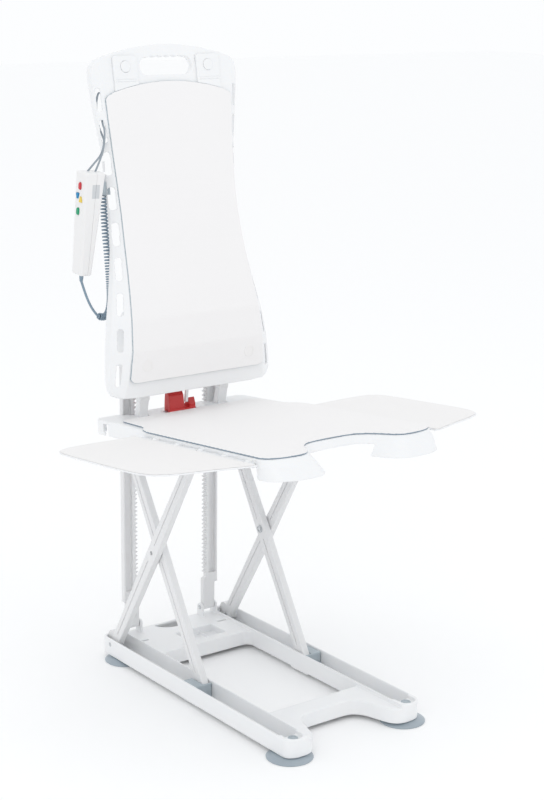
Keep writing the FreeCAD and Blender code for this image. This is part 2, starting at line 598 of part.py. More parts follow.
def back_loft(dn, dw, rear):
    ws = []
    for s, W, P, nr, np_ in STATIONS:
        W2, P2 = W - dw, P - dw * 0.5
        pts = [B(-W2, s, rear), B(-W2, s, nr - dn), B(-P2, s, np_ - dn), B(P2, s, np_ - dn), B(W2, s, nr - dn), B(W2, s, rear)]
        ws.append(wire(pts))
    return Part.makeLoft(ws, True, True)


def back_outline(d):
    """Outline of the back in (u, s), inset by d."""
    half = [(0, 597), (20, 596.5), (77, 590), (118, 580.5), (140, 573), (151, 562), (155.5, 545), (153.5, 520), (148, 470),
            (141, 420), (138, 350), (138, 300), (141, 245), (147, 200), (154, 160), (163, 115), (171, 60), (176, 10),
            (175, -4), (168, -16), (152, -22), (120, -24.5), (60, -26), (0, -26.5)]
    n = len(half)
    out = []
    for k, (u, s) in enumerate(half):
        a, b = half[max(k - 1, 0)], half[min(k + 1, n - 1)]
        tx, ty = b[0] - a[0], b[1] - a[1]
        if k in (0,):
            tx, ty = 1, 0
        if k == n - 1:
            tx, ty = -1, 0
        L = math.hypot(tx, ty)
        out.append((u + ty / L * d if 0 < k < n - 1 else 0, s - tx / L * d))
    return out


def back_prism(d, n0, n1):
    h = back_outline(d)
    pts = h + [(-u, s) for u, s in reversed(h[1:-1])]
    return Part.Face(wire([B(u, s, n0) for u, s in pts])).extrude(Vector(0, -(n1 - n0), 0))


def slot_prism(u, s, length, width, n0, n1, tilt=0.0):
    r = width / 2
    h = length / 2 - r
    a = Part.makeBox(width, n1 - n0, 2 * h, Vector(-r, -n1, -h))
    c1 = Part.makeCylinder(r, n1 - n0, Vector(0, -n1, h), Vector(0, 1, 0))
    c2 = Part.makeCylinder(r, n1 - n0, Vector(0, -n1, -h), Vector(0, 1, 0))
    q = a.fuse([c1, c2])
    q.rotate(Vector(0, 0, 0), Vector(0, 1, 0), tilt)
    q.translate(Vector(u, 0, s))
    return q


def lerp_station(s):
    for a, b in zip(STATIONS, STATIONS[1:]):
        if a[0] <= s <= b[0]:
            t = (s - a[0]) / (b[0] - a[0])
            return [a[k] + (b[k] - a[k]) * t for k in range(5)]
    return list(STATIONS[-1])


SLOTS = [503, 448, 392, 331, 268, 207, 145, 82, 21]
HANDLE = (0.0, 558.0, 112.0, 31.0)

outer_b = back_loft(0.0, 0.0, -RIM - 8).common(back_prism(0.0, -RIM - 8, 60))
inner_b = back_loft(SHELL_T, 0.0, -RIM - 9).common(back_prism(3.0, -RIM - 9, 60))
shell = outer_b.cut(inner_b)
for s in SLOTS:
    _, W, P, nr, np_ = lerp_station(s)
    _, W2, P2, _, _ = lerp_station(s + 10)
    tilt = math.degrees(math.atan2((W2 + P2 - W - P) / 2, 10))
    for sgn in (-1, 1):
        shell = shell.cut(slot_prism(sgn * ((W + P) / 2 + 0.5), s, 40, 7.5, -30, 60, sgn * tilt))
# carrying handle
shell = shell.cut(slot_prism(0, HANDLE[1], HANDLE[2], HANDLE[3], -30, 60, 90))
ring = slot_prism(0, HANDLE[1], HANDLE[2] + 10, HANDLE[3] + 10, -RIM, 0.0, 90).cut(
    slot_prism(0, HANDLE[1], HANDLE[2], HANDLE[3], -30, 60, 90))
shell = shell.fuse(ring)
# finger grips along the upper edge of the handle and the marks beside them
for k in range(5):
    shell = shell.cut(Part.makeCylinder(8.5, 60, Vector(-30.0 + 15.0 * k, -30, HANDLE[1] + HANDLE[3] / 2 + 2.4 - 8.5), Vector(0, 1, 0)))
for u in (-41.0, 41.0):
    shell = shell.cut(Part.makeBox(1.4, 2.2, 17, Vector(u - 0.7, -2.0, 579.5)))
# back ribs, clear of the rack corridors
for s in (20, 130, 230, 330, 430, 520):
    shell = shell.fuse(Part.makeBox(138, 8 + lerp_station(s)[4], 2.5, Vector(-69, -lerp_station(s)[4] + SHELL_T / 2, s)))
for u in (-60, 60):
    pts = [B(u, -18, -6)] + [B(u, s, -6) for s in (530,)] + [B(u, st[0], st[4] - SHELL_T / 2) for st in reversed(STATIONS) if -10 < st[0] <= 525] + [B(u, -18, 2)]
    shell = shell.fuse(Part.Face(wire(pts)).extrude(Vector(2.5, 0, 0)))
shell = shell.removeSplitter()


# arms down to the recline axis, in front of the rack columns
def arm():
    a_s, a_n = to_back(HINGE_W, HINGE_Z)
    # in lift coordinates: plate facing forward with flared top, curling to the hinge eye
    prof = [(46, 450), (58, 452), (62, 470), (66, 500), (74, 545), (66, 548), (57, 520), (52, 490), (48, 470), (40, 466), (36, 460)]
    s = side([(23, 458), (30, 466), (44, 470), (49, 488), (53, 512), (60, 548), (73, 552), (66, 512), (61, 486), (58, 462), (46, 450), (34, 447), (26, 449)], 77.6, 97.6)
    # flare towards the backrest
    fl = side([(51, 500), (60, 548), (73, 552), (64, 500)], 60.0, 118.0)
    cut1 = Part.makeCylinder(32, 60, V(45.6, 90, 510), Vector(0, 1, 0))
    cut2 = Part.makeCylinder(32, 60, V(129.6, 90, 510), Vector(0, 1, 0))
    fl = fl.cut(cut1).cut(cut2)
    s = s.fuse(fl)
    s = s.fuse(cyl_x(77.6, 97.6, HINGE_W, HINGE_Z, 8.5))
    s = s.cut(cyl_x(70, 110, HINGE_W, HINGE_Z, PIN_R))
    return s.removeSplitter()


shell_g = back_place(shell)
arms = both(arm())
keep_out = back_place(outer_b)
clean = []
for a in arms:
    c = a.cut(keep_out)
    big = max(c.Solids, key=lambda q: q.Volume)
    clean.append(big)
save("backrest_shell", max(shell_g.Solids, key=lambda q: q.Volume) if len(shell_g.Solids) > 1 else shell_g)
save("backrest_arm_left", clean[0])
save("backrest_arm_right", clean[1])
# one steel bar joins both hinge eyes, cranked down between the arms
bar = cyl_x(-56.0, 56.0, HINGE_W, HINGE_Z - 16.0, PIN_R)
for sgn in (-1, 1):
    a, b = sorted((sgn * 56.0, sgn * 104.8))
    bar = bar.fuse(cyl_x(a, b, HINGE_W, HINGE_Z, PIN_R)).fuse(cyl_z(sgn * 56.0, HINGE_W, HINGE_Z - 16.0, HINGE_Z, PIN_R))
    for z in (HINGE_Z - 16.0, HINGE_Z):
        bar = bar.fuse(Part.makeSphere(PIN_R, V(sgn * 56.0, HINGE_W, z)))
save("backrest_hinge_bar", bar)

# backrest cover
ws = []
for s, W, P, nr, np_ in STATIONS:
    if s < 5 or s > 525:
        continue
    s2 = {10: 4.0, 520: 532.0}.get(s, s)
    ws.append(wire([B(-P + 0.6, s2, np_ + 0.05), B(-P + 2.4, s2, np_ + 3.6), B(P - 2.4, s2, np_ + 3.6), B(P - 0.6, s2, np_ + 0.05)]))
cover = Part.makeLoft(ws, True, True)
cover = cover.cut(back_loft(-0.05, -2.0, -RIM - 8))
# the upper edge is an arc, with rounded corners
cover = cover.common(Part.makeCylinder(419.5, 120, Vector(0, -80, 111.5), Vector(0, 1, 0)))
for sgn in (-1, 1):
    a = Vector(sgn * 121.0, 0, 496.6)
    corner = Part.makeBox(60, 120, 60, Vector(0 if sgn > 0 else -60, -80, 0))
    corner.translate(Vector(a.x, 0, a.z))
    corner = corner.cut(Part.makeCylinder(14.5, 120, Vector(a.x, -80, a.z), Vector(0, 1, 0)))
    cover = cover.cut(corner)
    foot = Part.makeBox(30, 120, 20, Vector(133.0 if sgn > 0 else -163.0, -80, -2.0))
    cover = cover.cut(foot.cut(Part.makeCylinder(14.0, 120, Vector(sgn * 133.0, -80, 18.0), Vector(0, 1, 0))))
save("backrest_cover", back_place(max(cover.Solids, key=lambda q: q.Volume)))
snaps = []
for u in (-111, 111):
    # the caps lie flat on the slope of the cover's foot
    a, b = STATIONS[1], STATIONS[2]
    slope = (b[4] - a[4]) / (b[0] - 4.0)
    cap = Part.makeCylinder(11.0, 1.5, Vector(0, -0.8, 0), Vector(0, 1, 0))
    cap = cap.cut(Part.makeCylinder(8.2, 1.0, Vector(0, -1.4, 0), Vector(0, 1, 0)))
    cap.rotate(Vector(0, 0, 0), Vector(1, 0, 0), math.degrees(math.atan(slope)))
    cap.translate(Vector(u, -(a[4] + slope * (33 - 4.0) + 3.6), 33))
    snaps.append(cap)
snaps = [back_place(x) for x in snaps]
cv = done["backrest_cover"]
snaps = [x.cut(cv) for x in snaps]
save("cover_snaps", comp([max(x.Solids, key=lambda q: q.Volume) for x in snaps]))

# accessory mounting blocks beside the handle, with a round cap each
blk = []
caps = []
for sgn in (-1, 1):
    c = sgn * 88
    b = Part.makeBox(50, 3.4, 73, Vector(c - 25, -4.6, 504.0))
    b = round_edges(b, 5.0, lambda e: e.BoundBox.YLength > 3 and e.BoundBox.XLength < 0.01 and e.BoundBox.ZLength < 0.01)
    b = b.cut(Part.makeCylinder(10.2, 10, Vector(c + sgn * 0, -8, 558), Vector(0, 1, 0)))
    b = b.cut(outer_b).cut(cover)
    b = max(b.Solids, key=lambda q: q.Volume)
    # step across the foot of the block
    b = b.cut(Part.makeBox(44, 2, 1.4, Vector(c - 22, -5.6, 535.0)))
    b = b.cut(Part.makeBox(44, 2, 1.2, Vector(c - 22, -5.4, 531.2)))
    blk.append(back_place(b))
    cp = Part.makeCylinder(10.0, 4.2, Vector(c, -5.6, 558), Vector(0, 1, 0)).cut(outer_b)
    caps.append(back_place(max(cp.Solids, key=lambda q: q.Volume)))
save("accessory_blocks", comp(blk))
save("accessory_caps", comp(caps))

# ------------------------------------------------------------------ drive unit
DZ = 594.0
hs = box(-69, 69, -46, 49, 548, 646)
hs = round_edges(hs, 14.0, lambda e: e.BoundBox.XLength > 100 and e.BoundBox.YMax > Y0 + 40)
hs = hs.cut(box(-66, 66, -60, 46, 551, 643))
# side windows for the pinions
hs = hs.cut(box(-80, 80, 4, 24, DZ - 18, DZ + 18))
# front mounting plate with the outboard guide cheeks
plate = box(-122, 122, 43, 49, 560, 640)
hs = hs.fuse(plate)
for s in both(side([(49, 560), (49, 640), (20, 640), (-4, 626), (-12, 606), (-10, 586), (2, 568), (22, 560)], 112.0, 119.0)):
    hs = hs.fuse(s)
hs = hs.cut(box(-66, 66, -60, 46, 551, 643))
hs_cut = hs.cut(back_place(outer_b))
hs_cut = max(hs_cut.Solids, key=lambda q: q.Volume)
# opening at the rear for the cover
hs_cut = hs_cut.cut(box(-62, 62, -60, -40, 557, 637))
save("drive_housing", hs_cut)
dc = box(-60, 60, -52, -46.05, 555, 639)
dc = round_edges(dc, 4.0, lambda e: e.BoundBox.YMin > Y0 + 51)
lip = box(-61.5, 61.5, -46.0, -40, 557.5, 636.5).cut(box(-59, 59, -47, -39, 560, 634))
save("drive_cover", dc.fuse(lip.fuse(box(-59.5, 59.5, -46.5, -45.5, 558, 636))).removeSplitter())

motor = cyl_x(-52, 8, -16, 622, 16.0).fuse(cyl_x(8, 14, -16, 622, 9.0)).fuse(cyl_x(-56, -52, -16, 622, 6.0))
save("motor", motor)
gb = box(14.05, 48, -34, 2, 594, 641).cut(cyl_x(13, 49, -16, 622, 3.0))
gb = gb.fuse(box(14.05, 48, -34, -4, 562, 598))
gb = round_edges(gb, 3.0, lambda e: e.BoundBox.XLength > 30 and e.BoundBox.YLength < 0.01 and e.BoundBox.ZLength < 0.01)
save("gearbox", gb)


def pinion(u):
    n, rp = 10, 12.4
    pts = []
    for k in range(n):
        a0 = 2 * math.pi * k / n
        for da, rr in ((-0.20, rp - 2.8), (-0.09, rp + 1.8), (0.09, rp + 1.8), (0.20, rp - 2.8)):
            pts.append((u + rr * math.cos(a0 + da), DZ + rr * math.sin(a0 + da)))
    f = Part.Face(wire([V(a, 18.5, b) for a, b in pts]))
    g = f.extrude(Vector(0, 9.5, 0))
    return g.cut(cyl_w(0, 30, u, DZ, 3.5))



for nm, u in (("left", 60.0), ("right", -60.0)):
    save("pinion_" + nm, pinion(u))
    save("pinion_shaft_" + nm, cyl_w(2, 40, u, DZ, 3.5).fuse(cyl_w(26, 32, u, DZ, 5.4)))
save("cross_shaft", cyl_x(-53.8, 53.8, 29, DZ, 4.0).fuse(cyl_x(-30, -10, 29, DZ, 7.0)))
sb = []
for z in (563.0, 631.0):
    for u in (-52, 52):
        k = cyl_w(-54.2, -52.05, u, z, 3.2).cut(box(u - 2.4, u + 2.4, -54.6, -53.2, z - 0.5, z + 0.5))
        sb.append(k)
save("drive_cover_screws", comp(sb))

# locking lever below the backrest, and its post
lev = side([(49, 462), (68, 465), (70, 476), (66, 500), (60, 508), (52, 508), (50, 490)], -36.0, -4.2)
lev = lev.fuse(side([(49, 462), (68, 465), (68, 474), (52, 480)], -4.2, 22.0))
lev = lev.fuse(side([(49, 462), (68, 465), (67, 480), (62, 492), (51, 484)], 9.0, 22.0))
lev = round_edges(lev, 2.0, lambda e: e.BoundBox.XLength < 0.01 and e.Length > 8)
LEV_PIV = (58.0, 470.0)
lev = lev.cut(cyl_x(-60, 60, LEV_PIV[0], LEV_PIV[1], 3.0 + FIT))
lev = lev.cut(box(-4.0, 8.8, 40, 80, 480.5, 520))
save("lock_lever", lev)
save("lock_lever_pin", cyl_x(-41.5, 27.5, LEV_PIV[0], LEV_PIV[1], 3.0))
post = side([(61.4, 485), (66.4, 485.5), (74, 548), (69, 549)], 0.0, 5.0)
post = post.cut(keep_out)
save("lever_post", max(post.Solids, key=lambda q: q.Volume))

# ---------------------------------------------------------------------- handset
# built upright at the origin: u towards the backrest, w forward, z up; then hung
HS_TOP = (-170.0, 25.0, 915.0)
HS_H = 183.0


def hand_place(s):
    s = s.copy()
    s.rotate(Vector(0, 0, 0), Vector(0, 1, 0), 2.2)
    s.rotate(Vector(0, 0, 0), Vector(1, 0, 0), 3.5)
    s.translate(V(*HS_TOP))
    return s


def hand_body(d=0.0):
    # wedge: deeper at the top than at the foot
    a = [(-20 + d, -18 + d), (20 - d, -18 + d), (20 - d, 18 - d), (-20 + d, 18 - d)]
    ws = []
    for z, dep in ((0 - d, 40.0), (-60, 34.0), (-HS_H + d, 22.0)):
        hw = 18.0 - d - (1.5 if z < -100 else 0)
        ws.append(wire([Vector(-20 + d, hw, z), Vector(-20 + dep - d, hw, z), Vector(-20 + dep - d, -hw, z), Vector(-20 + d, -hw, z)]))
    s = Part.makeLoft(ws, True, True)
    if d == 0.0:
        s = round_edges(s, 4.0, lambda e: True)
    return s


hb = hand_body()
hi = hand_body(2.2)
hollow = hb.cut(hi)
split = Part.Face(wire([Vector(3.5, -60, 20), Vector(60, -60, 20), Vector(60, -60, -200), Vector(-6.5, -60, -200)])).extrude(Vector(0, 120, 0))
rear_h = hollow.common(split)
split2 = Part.Face(wire([Vector(3.3, -60, 20), Vector(-60, -60, 20), Vector(-60, -60, -200), Vector(-6.7, -60, -200)])).extrude(Vector(0, 120, 0))
front_h = hollow.common(split2)
BTN = [("button_stop", 0.6, -25.0), ("button_down", 7.2, -42.5), ("button_up", -3.4, -48.6), ("button_back", 4.0, -70.0)]


def button(n, y, z, d, x0, x1):
    """Oval or three-cornered button, grown by d, between two depths."""
    if n in ("button_stop", "button_back"):
        b = slot_prism(0, 0, 12.6 + 2 * d, 7.6 + 2 * d, -x1, -x0)
        b.rotate(Vector(0, 0, 0), Vector(0, 0, 1), -90)
        b.translate(Vector(0, y, z))
        return b
    q = 1 if n == "button_down" else -1
    pts = [Vector(x0, y - 4.6 - d, z + q * (4.6 + d)), Vector(x0, y + 4.6 + d, z + q * (4.6 + d)),
           Vector(x0, y + 1.5 + d * 0.5, z - q * (5.4 + d)), Vector(x0, y - 1.5 - d * 0.5, z - q * (5.4 + d))]
    b = Part.Face(wire(pts)).extrude(Vector(x1 - x0, 0, 0))
    return round_edges(b, 1.3, lambda e: e.BoundBox.XLength > 1)


for n, y, z in BTN:
    front_h = front_h.cut(button(n, y, z, 0.2, -26.0, -14.0))
rear_h2 = rear_h
save("handset_front_shell", hand_place(max(front_h.Solids, key=lambda q: q.Volume)))
save("handset_battery_shell", hand_place(max(rear_h2.Solids, key=lambda q: q.Volume)))
for n, y, z in BTN:
    b = button(n, y, z, 0.0, -22.0, -17.6)
    b = round_edges(b, 0.8, lambda e: e.BoundBox.XMax < -21.5)
    save(n, hand_place(b))
save("handset_board", hand_place(Part.makeBox(1.6, 26, 110, Vector(-15.5, -13, -125))))
save("battery_pack", hand_place(Part.makeBox(14, 26, 110, Vector(-10.5, -13, -125)).cut(
    Part.makeBox(30, 60, 60, Vector(3.2 - 7.2, -30, -160)))))

# ------------------------------------------------------------------------ cords
def route(pts, r):
    """Straight runs joined by tangent arcs, swept as a round tube."""
    P = [V(*p) for p in pts]
    n = len(P)
    edges = []
    cur = P[0]
    radii = []
    for k in range(1, n - 1):
        a, b, c = P[k - 1], P[k], P[k + 1]
        d1 = b.sub(a)
        d2 = c.sub(b)
        l1, l2 = d1.Length, d2.Length
        d1.normalize()
        d2.normalize()
        turn = math.acos(max(-1, min(1, d1.dot(d2))))
        cut = 0.45 * min(l1, l2)
        R = cut / math.tan(turn / 2)
        radii.append(R)
        p1 = b.sub(Vector(d1).multiply(cut))
        p2 = b.add(Vector(d2).multiply(cut))
        bis = d2.sub(d1)
        bis.normalize()
        centre = b.add(Vector(bis).multiply(R / math.cos(turn / 2)))
        m = centre.add(b.sub(centre).normalize().multiply(R))
        edges.append(Part.LineSegment(cur, p1).toShape())
        edges.append(Part.Arc(p1, m, p2).toShape())
        cur = p2
    edges.append(Part.LineSegment(cur, P[-1]).toShape())
    w_ = Part.Wire(edges)
    t = P[1].sub(P[0])
    prof = Part.Wire([Part.makeCircle(r, P[0], t)])
    tube = w_.makePipeShell([prof], True, False)
    vol = tube.Volume
    print("   cord: length %.1f  min radius %.1f  radii %s  volume ratio %.4f" % (
        w_.Length, min(radii), ["%.0f" % x for x in radii], vol / (math.pi * r * r * w_.Length)))
    return tube


# the curly cord hangs from a socket on the rear of the backrest's rim
COIL_R, LEAD_R = 7.0, 2.2
COIL = [(-136.5, 11.0, 871.0), (-136.0, 10.5, 842.0), (-133.5, 10.0, 803.0), (-129.5, 10.5, 760.0), (-126.0, 10.0, 718.0),
        (-125.5, 12.0, 685.0), (-131.0, 16.0, 661.0), (-144.0, 20.0, 650.5), (-158.0, 21.5, 656.5)]
LEAD = [(-158.0, 21.5, 656.5), (-168.0, 22.5, 667.0), (-176.5, 20.5, 684.0), (-182.0, 17.0, 702.0), (-186.4, 13.2, 721.5)]
sock = box(-146.0, -127.5, 2.5, 24.0, 871.0, 894.0)
sock = round_edges(sock, 3.0, lambda e: upright(e) and e.Vertexes[0].Point.y > Y0 - 5)
coil = route(COIL, COIL_R)
sock = sock.cut(keep_out).cut(coil)
save("cord_socket", max(sock.Solids, key=lambda q: q.Volume))
save("curly_cord", coil)
lead = route(LEAD, LEAD_R).cut(coil)
save("handset_lead", max(lead.Solids, key=lambda q: q.Volume))
# tapered strain relief at the foot of the handset
q_end, q_dir = V(*LEAD[-1]), V(*LEAD[-1]).sub(V(*LEAD[-2]))
hand_foot = Vector(-9.0, 0.0, -HS_H)
relief = Part.makeCone(4.2, 2.9, 12.0, hand_foot, Vector(0, 0, -1))
relief = hand_place(relief)
save("handset_strain_relief", relief.cut(done["handset_lead"]))

# lanyard: a loop from the handset up through a slot of the backrest and round its bar
LANYARD = [(-176.0, 20.0, 913.0), (-163.0, 25.0, 929.0), (-150.0, 29.0, 944.0), (-142.0, 25.0, 965.0), (-139.2, 14.0, 975.0), (-139.0, 3.0, 986.0),
           (-139.5, -5.0, 1008.0), (-137.5, -8.0, 1033.0), (-131.5, -9.0, 1050.0), (-125.5, -6.0, 1040.0), (-127.5, -1.0, 1018.0), (-133.5, 4.0, 1003.0),
           (-138.6, 14.0, 994.0), (-141.0, 25.0, 986.0), (-145.5, 30.5, 962.0), (-153.0, 31.0, 937.0), (-164.0, 27.0, 912.0)]
lan = route(LANYARD, 1.4)
for nme in ("handset_front_shell", "handset_battery_shell"):
    lan = lan.cut(done[nme])
lan = max(lan.Solids, key=lambda q: q.Volume)
over = lan.common(done["backrest_shell"]).Volume
print("   lanyard in the shell by", over)
save("lanyard", lan)
boxes = [x.optimalBoundingBox(False, False) for x in done.values()]
ymin, ymax = min(b_.YMin for b_ in boxes), max(b_.YMax for b_ in boxes)
print("tight y", ymin, ymax, "move Y0 by", -(ymin + ymax) / 2)
bb = Part.makeCompound(list(done.values())).BoundBox
print("ALL", bb.XMin, bb.XMax, bb.YMin, bb.YMax, bb.ZMin, bb.ZMax, "centre y", (bb.YMin + bb.YMax) / 2)
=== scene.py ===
import bpy, bmesh, json, math
from mathutils import Matrix, Vector, noise


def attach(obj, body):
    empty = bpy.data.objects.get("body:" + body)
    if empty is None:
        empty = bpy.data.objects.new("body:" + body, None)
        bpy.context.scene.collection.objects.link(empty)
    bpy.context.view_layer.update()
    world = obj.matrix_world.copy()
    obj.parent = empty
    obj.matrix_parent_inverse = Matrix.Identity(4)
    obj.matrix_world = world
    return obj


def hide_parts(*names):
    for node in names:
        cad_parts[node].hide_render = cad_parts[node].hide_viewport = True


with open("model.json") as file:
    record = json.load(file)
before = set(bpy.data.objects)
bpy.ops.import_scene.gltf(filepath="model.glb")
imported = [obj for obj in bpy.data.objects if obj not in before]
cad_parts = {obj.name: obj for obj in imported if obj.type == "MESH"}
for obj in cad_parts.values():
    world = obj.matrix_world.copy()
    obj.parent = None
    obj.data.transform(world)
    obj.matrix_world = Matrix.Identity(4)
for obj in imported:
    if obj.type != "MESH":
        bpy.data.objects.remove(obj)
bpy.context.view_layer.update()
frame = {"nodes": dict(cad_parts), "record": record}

nodes = frame["nodes"]
scene = bpy.context.scene
Y0 = 268.4          # the lift's w = 0 plane, in mm, as in the CAD


def P(u, w, z):
    """Point in metres from u (across), w (forward of the base's rear wall) and z (up), in mm."""
    return Vector((u / 1000.0, (Y0 - w) / 1000.0, z / 1000.0))


def new_object(name, mesh):
    o = bpy.data.objects.new(name, mesh)
    scene.collection.objects.link(o)
    return o


def smooth_shade(mesh, on=True):
    mesh.polygons.foreach_set("use_smooth", [on] * len(mesh.polygons))
    mesh.update()


# ------------------------------------------------------------------ camera
cam_data = bpy.data.cameras.new("camera")
cam = bpy.data.objects.new("camera", cam_data)
scene.collection.objects.link(cam)
az, el, roll = math.radians(-37.16), math.radians(14.04), math.radians(0.63)
back = Vector((math.sin(az) * math.cos(el), -math.cos(az) * math.cos(el), math.sin(el)))
right0 = Vector((math.cos(az), math.sin(az), 0.0))
up0 = back.cross(right0)
right = right0 * math.cos(roll) + up0 * math.sin(roll)
up = -right0 * math.sin(roll) + up0 * math.cos(roll)
cam.matrix_world = Matrix(((right.x, up.x, back.x, -1.74055), (right.y, up.y, back.y, (Y0 - 2626.18) / 1000.0),
                           (right.z, up.z, back.z, 1.26369), (0, 0, 0, 1)))
cam_data.sensor_width = 36.0
cam_data.lens = 1731.28 * 36.0 / 800.0
cam_data.clip_start, cam_data.clip_end = 0.05, 60.0
scene.camera = cam

# ------------------------------------------------------------------ materials


def node_material(name, color, rough=0.4, spec=0.5, metal=0.0, coat=0.0, grain=0.0, grain_scale=900.0, speck=0.02,
                  blotch=0.03, blotch_scale=9.0, sheen=0.0, sss=0.0, rough_var=0.06, tint=None, transmission=0.0, fine=None,
                  side=None, patch=None):
    m = bpy.data.materials.new(name)
    m.use_nodes = True
    nt = m.node_tree
    n, l = nt.nodes, nt.links
    b = n["Principled BSDF"]
    tc = n.new("ShaderNodeTexCoord")
    big = n.new("ShaderNodeTexNoise")
    big.inputs["Scale"].default_value = blotch_scale
    big.inputs["Detail"].default_value = 4.0
    l.new(tc.outputs["Object"], big.inputs["Vector"])
    small = n.new("ShaderNodeTexNoise")
    small.inputs["Scale"].default_value = grain_scale
    small.inputs["Detail"].default_value = 3.0
    l.new(tc.outputs["Object"], small.inputs["Vector"])
    dark = [max(0.0, c * (1.0 - blotch)) for c in color]
    light = [min(1.0, c * (1.0 + blotch * 0.6)) for c in color]
    if tint:
        dark = [d * t for d, t in zip(dark, tint)]
    ramp = n.new("ShaderNodeMixRGB")
    ramp.inputs[1].default_value = (*dark, 1)
    ramp.inputs[2].default_value = (*light, 1)
    l.new(big.outputs["Fac"], ramp.inputs[0])
    mix = n.new("ShaderNodeMixRGB")
    mix.blend_type = "MULTIPLY"
    mix.inputs[0].default_value = 1.0
    sp = n.new("ShaderNodeMapRange")
    sp.inputs["From Min"].default_value, sp.inputs["From Max"].default_value = 0.3, 0.7
    sp.inputs["To Min"].default_value, sp.inputs["To Max"].default_value = 1.0 - speck, 1.0
    l.new(small.outputs["Fac"], sp.inputs["Value"])
    l.new(ramp.outputs[0], mix.inputs[1])
    l.new(sp.outputs["Result"], mix.inputs[2])
    out = mix.outputs[0]
    if side:
        # painted shade: the narrow faces round the piece, turned away from its broad face, are coloured darker as if
        # in the joint's shade
        axis, lo, hi, shade = side
        dot = n.new("ShaderNodeVectorMath")
        dot.operation = "DOT_PRODUCT"
        dot.inputs[1].default_value = axis
        l.new(tc.outputs["Normal"], dot.inputs[0])
        mr = n.new("ShaderNodeMapRange")
        mr.inputs["From Min"].default_value, mr.inputs["From Max"].default_value = lo, hi
        l.new(dot.outputs["Value"], mr.inputs["Value"])
        edge = n.new("ShaderNodeMixRGB")
        edge.inputs[1].default_value = (*shade, 1)
        l.new(mr.outputs["Result"], edge.inputs[0])
        l.new(out, edge.inputs[2])
        out = edge.outputs[0]
    if patch:
        # a rectangle of another tone, given in the piece's own directions
        centre, sides, tone = patch
        fac = None
        for axis, h in sides:
            off = n.new("ShaderNodeVectorMath")
            off.operation = "SUBTRACT"
            off.inputs[1].default_value = centre
            l.new(tc.outputs["Object"], off.inputs[0])
            dot = n.new("ShaderNodeVectorMath")
            dot.operation = "DOT_PRODUCT"
            dot.inputs[1].default_value = axis
            l.new(off.outputs[0], dot.inputs[0])
            ab = n.new("ShaderNodeMath")
            ab.operation = "ABSOLUTE"
            l.new(dot.outputs["Value"], ab.inputs[0])
            ls = n.new("ShaderNodeMath")
            ls.operation = "LESS_THAN"
            ls.inputs[1].default_value = h
            l.new(ab.outputs[0], ls.inputs[0])
            if fac is None:
                fac = ls.outputs[0]
            else:
                mu = n.new("ShaderNodeMath")
                mu.operation = "MULTIPLY"
                l.new(fac, mu.inputs[0])
                l.new(ls.outputs[0], mu.inputs[1])
                fac = mu.outputs[0]
        over = n.new("ShaderNodeMixRGB")
        over.inputs[2].default_value = (*tone, 1)
        l.new(fac, over.inputs[0])
        l.new(out, over.inputs[1])
        out = over.outputs[0]
    l.new(out, b.inputs["Base Color"])
    rv = n.new("ShaderNodeMapRange")
    rv.inputs["To Min"].default_value = max(0.02, rough - rough_var)
    rv.inputs["To Max"].default_value = min(1.0, rough + rough_var)
    l.new(big.outputs["Fac"], rv.inputs["Value"])
    l.new(rv.outputs["Result"], b.inputs["Roughness"])
    b.inputs["Metallic"].default_value = metal
    b.inputs["Specular IOR Level"].default_value = spec
    b.inputs["Coat Weight"].default_value = coat
    b.inputs["Coat Roughness"].default_value = 0.25
    if sheen:
        b.inputs["Sheen Weight"].default_value = sheen
    if sss:
        b.inputs["Subsurface Weight"].default_value = sss
        b.inputs["Subsurface Radius"].default_value = (0.008, 0.007, 0.006)
        b.inputs["Subsurface Scale"].default_value = 0.6
    if transmission:
        b.inputs["Transmission Weight"].default_value = transmission
    if grain:
        bump = n.new("ShaderNodeBump")
        bump.inputs["Strength"].default_value = grain
        bump.inputs["Distance"].default_value = 0.0004
        src = small.outputs["Fac"]
        if fine == "weave":
            wv = n.new("ShaderNodeTexWave")
            wv.inputs["Scale"].default_value = 420.0
            wv.inputs["Distortion"].default_value = 1.5
            l.new(tc.outputs["Object"], wv.inputs["Vector"])
            src = wv.outputs["Fac"]
        elif fine == "leather":
            vo = n.new("ShaderNodeTexVoronoi")
            vo.inputs["Scale"].default_value = 620.0
            l.new(tc.outputs["Object"], vo.inputs["Vector"])
            ad = n.new("ShaderNodeMath")
            ad.operation = "ADD"
            l.new(vo.outputs["Distance"], ad.inputs[0])
            l.new(small.outputs["Fac"], ad.inputs[1])
            src = ad.outputs[0]
        l.new(src, bump.inputs["Height"])
        l.new(bump.outputs["Normal"], b.inputs["Normal"])
    return m


WHITE = node_material("white_moulded_plastic", (0.868, 0.872, 0.878), rough=0.36, spec=0.45, coat=0.12, grain=0.10, grain_scale=1400,
                      speck=0.012, blotch=0.018, sss=0.06, tint=(0.99, 1.0, 1.01))
# a darker copy of the white plastic for the legs and racks: painted shade, for the greyer look they take in shade
LEG_PAINTED_SHADE = node_material("white_plastic_leg_painted_shade", (0.80, 0.802, 0.808), rough=0.40, spec=0.45, coat=0.08, grain=0.14, grain_scale=1100,
                    speck=0.02, blotch=0.025, blotch_scale=14.0, sss=0.04)
hand_turn = Matrix.Rotation(math.radians(3.5), 3, "X") @ Matrix.Rotation(math.radians(2.2), 3, "Y")
panel_at = P(-170.0, 25.0, 915.0) + hand_turn @ Vector((0.001, -0.018, -0.033))
HAND = node_material("handset_plastic", (0.84, 0.835, 0.835), rough=0.34, spec=0.45, coat=0.15, grain=0.12, grain_scale=1800,
                     speck=0.012, blotch=0.015, sss=0.05,
                     patch=(panel_at, [(hand_turn @ Vector((1, 0, 0)), 0.0075), (hand_turn @ Vector((0, 0, 1)), 0.012),
                                       (hand_turn @ Vector((0, 1, 0)), 0.006)], (0.60, 0.62, 0.64)))
